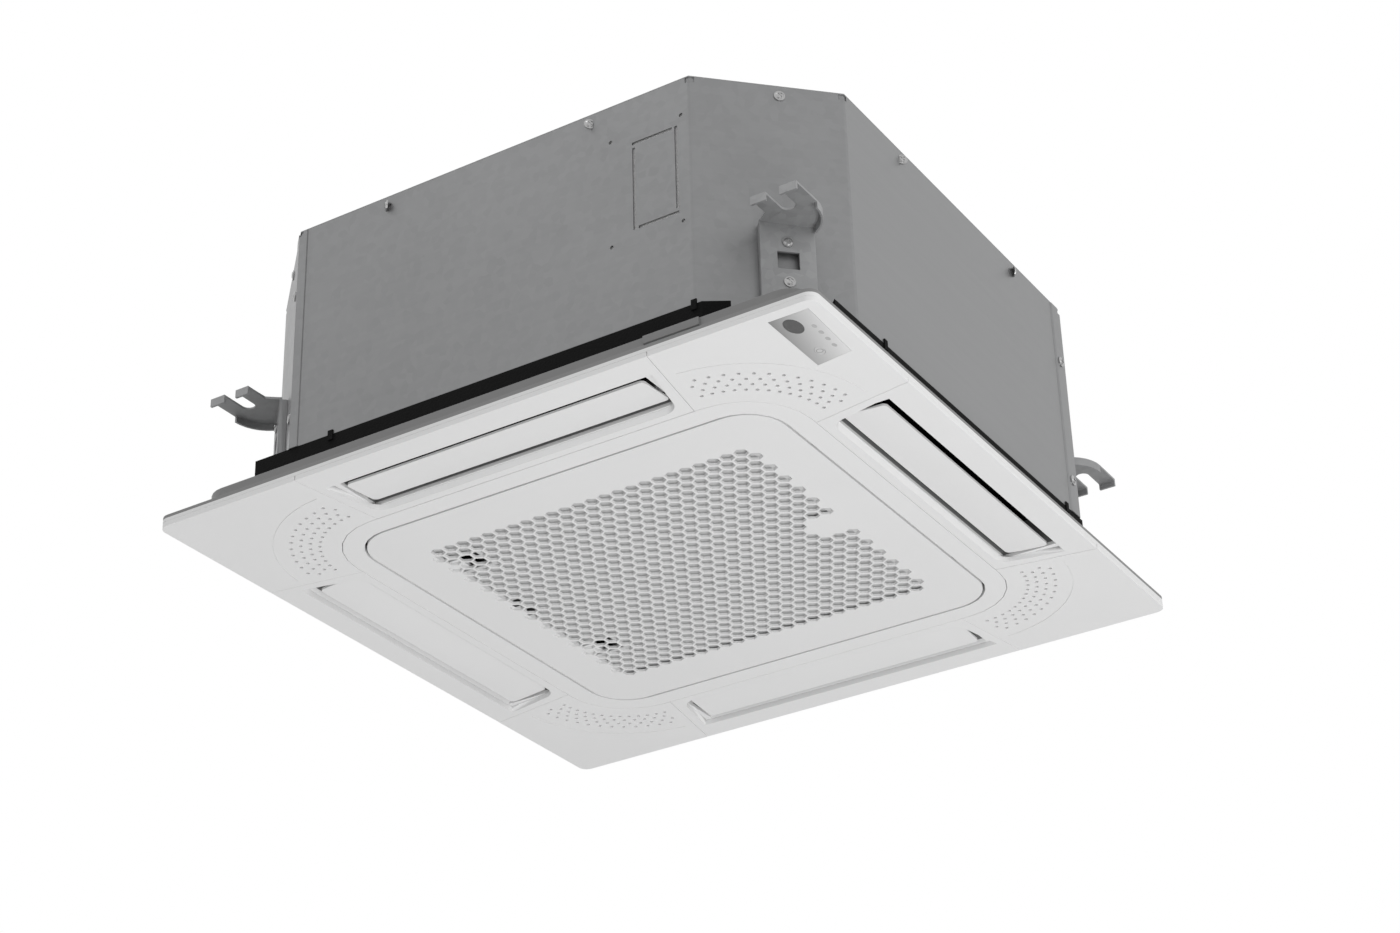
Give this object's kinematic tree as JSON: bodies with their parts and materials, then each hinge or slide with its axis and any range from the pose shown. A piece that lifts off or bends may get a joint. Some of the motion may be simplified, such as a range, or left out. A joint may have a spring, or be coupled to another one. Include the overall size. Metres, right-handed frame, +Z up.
{
  "type": "ceiling cassette air conditioner",
  "caption": "Four-way ceiling cassette air conditioner with a hexagon intake grille, swinging louvres, suspension brackets and its fan, coil and drain pump inside.",
  "frame": {"origin": "centre of the panel's face, on the plane of the face (the underside when it hangs)", "axes": "+Z up from the room into the ceiling, +X to the side that the grille hinges on, -Y to the side with the cable knock-out"},
  "size_m": [0.62, 0.62, 0.264],
  "materials": {
    "galvanised_steel": "dull galvanised sheet, faint spangle",
    "zinc": "bright zinc plate",
    "foam_white": "expanded foam, matt",
    "foam_black": "black expanded foam, matt",
    "fan_plastic": "moulded, matt",
    "fin_aluminium": "thin fins, satin",
    "copper": "bare copper tube",
    "brass": "machined brass",
    "dark_plastic": "moulded, matt",
    "float_blue": "moulded, matt",
    "rubber": "matt rubber",
    "motor_enamel": "baked enamel, semi-matt",
    "circuit_board": "lacquered board",
    "frame_grey": "moulded, matt, mid grey",
    "cover_white": "moulded, soft sheen, near white",
    "grille_white": "moulded, soft sheen, near white",
    "filter_mesh": "fine plastic net in its rim",
    "silver_plastic": "silver, satin",
    "dark_lens": "dark tinted window"
  },
  "bodies": {
    "unit": {"top_plate": "galvanised_steel", "front_casing_sheet": "galvanised_steel", "rear_casing_sheet": "galvanised_steel", "casing_screws": "zinc", "insulation_liner": "foam_white", "hanger_front_right": "galvanised_steel", "hanger_front_left": "galvanised_steel", "hanger_rear_right": "galvanised_steel", "hanger_rear_left": "galvanised_steel", "drain_pan": "foam_black", "bell_mouth": "fan_plastic", "coil_fins": "fin_aluminium", "coil_tubes": "copper", "coil_end_plates": "galvanised_steel", "gas_pipe": "copper", "liquid_pipe": "copper", "flare_nuts": "brass", "pipe_cover_plate": "galvanised_steel", "drain_pump": "fan_plastic", "float_switch": "fan_plastic", "drain_port": "fan_plastic", "motor_bracket": "galvanised_steel", "motor_nuts": "zinc", "motor_bushes": "rubber", "fan_motor": "motor_enamel", "electrical_box": "galvanised_steel", "electrical_cover": "galvanised_steel", "control_board": "circuit_board", "panel_frame": "frame_grey", "panel_bolts": "zinc", "side_cover_front": "cover_white", "side_cover_right": "cover_white", "side_cover_rear": "cover_white", "side_cover_left": "cover_white", "corner_cover_front_right": "cover_white", "corner_cover_rear_right": "cover_white", "corner_cover_rear_left": "cover_white", "corner_cover_front_left": "cover_white", "flap_bearings": "fan_plastic", "flap_motors": "silver_plastic", "display_plate": "silver_plastic", "receiver_window": "dark_lens", "indicator_lenses": "silver_plastic", "display_board": "circuit_board"},
    "hinge_links": {"grille_hinge_links": "zinc"},
    "grille": {"intake_grille": "grille_white", "grille_frame": "grille_white", "air_filter": "filter_mesh"},
    "latch_front": {"grille_latch_front": "grille_white"},
    "latch_rear": {"grille_latch_rear": "grille_white"},
    "louvre_front": {"flap_front": "cover_white"},
    "louvre_right": {"flap_right": "cover_white"},
    "louvre_rear": {"flap_rear": "cover_white"},
    "louvre_left": {"flap_left": "cover_white"},
    "fan": {"turbo_fan": "fan_plastic", "motor_shaft": "zinc", "fan_nut": "zinc"},
    "pump_rotor": {"pump_impeller": "dark_plastic"},
    "water_float": {"float_ring": "float_blue"},
    "button": {"push_button": "silver_plastic"}
  },
  "joints": [
    {"name": "grille_drop", "type": "slide", "parent": "unit", "child": "hinge_links", "axis": [0, 0, -1], "range_m": [0, 0.012]},
    {"name": "grille_swing", "type": "hinge", "parent": "hinge_links", "child": "grille", "pos_m": [0.18, 0, 0.0062], "axis": [0, -1, 0], "range_deg": [0, 90]},
    {"name": "louvre_front_swing", "type": "hinge", "parent": "unit", "child": "louvre_front", "pos_m": [0, -0.247, 0.012], "axis": [1, 0, 0], "range_deg": [-5, 60]},
    {"name": "louvre_right_swing", "type": "hinge", "parent": "unit", "child": "louvre_right", "pos_m": [0.247, 0, 0.012], "axis": [0, 1, 0], "range_deg": [-5, 60]},
    {"name": "louvre_rear_swing", "type": "hinge", "parent": "unit", "child": "louvre_rear", "pos_m": [0, 0.247, 0.012], "axis": [-1, 0, 0], "range_deg": [-5, 60]},
    {"name": "louvre_left_swing", "type": "hinge", "parent": "unit", "child": "louvre_left", "pos_m": [-0.247, 0, 0.012], "axis": [0, -1, 0], "range_deg": [-5, 60]},
    {"name": "fan_spin", "type": "hinge", "parent": "unit", "child": "fan", "pos_m": [0, 0, 0.15], "axis": [0, 0, 1], "continuous": true},
    {"name": "pump_spin", "type": "hinge", "parent": "unit", "child": "pump_rotor", "pos_m": [-0.172, 0.178, 0.08], "axis": [0, 0, 1], "continuous": true},
    {"name": "float_rise", "type": "slide", "parent": "unit", "child": "water_float", "axis": [0, 0, 1], "range_m": [0, 0.012]},
    {"name": "button_press", "type": "slide", "parent": "unit", "child": "button", "axis": [0, 0, 1], "range_m": [0, 0.001], "stiffness_N_per_m": 200, "springref_m": -0.002},
    {"name": "latch_front_slide", "type": "slide", "parent": "grille", "child": "latch_front", "axis": [1, 0, 0], "range_m": [0, 0.005], "stiffness_N_per_m": 150, "springref_m": -0.002},
    {"name": "latch_rear_slide", "type": "slide", "parent": "grille", "child": "latch_rear", "axis": [1, 0, 0], "range_m": [0, 0.005], "stiffness_N_per_m": 150, "springref_m": -0.002}
  ],
  "couplings": [
    {"joint": "grille_drop", "follows": "grille_swing", "m_per_rad": 0.007639}
  ]
}
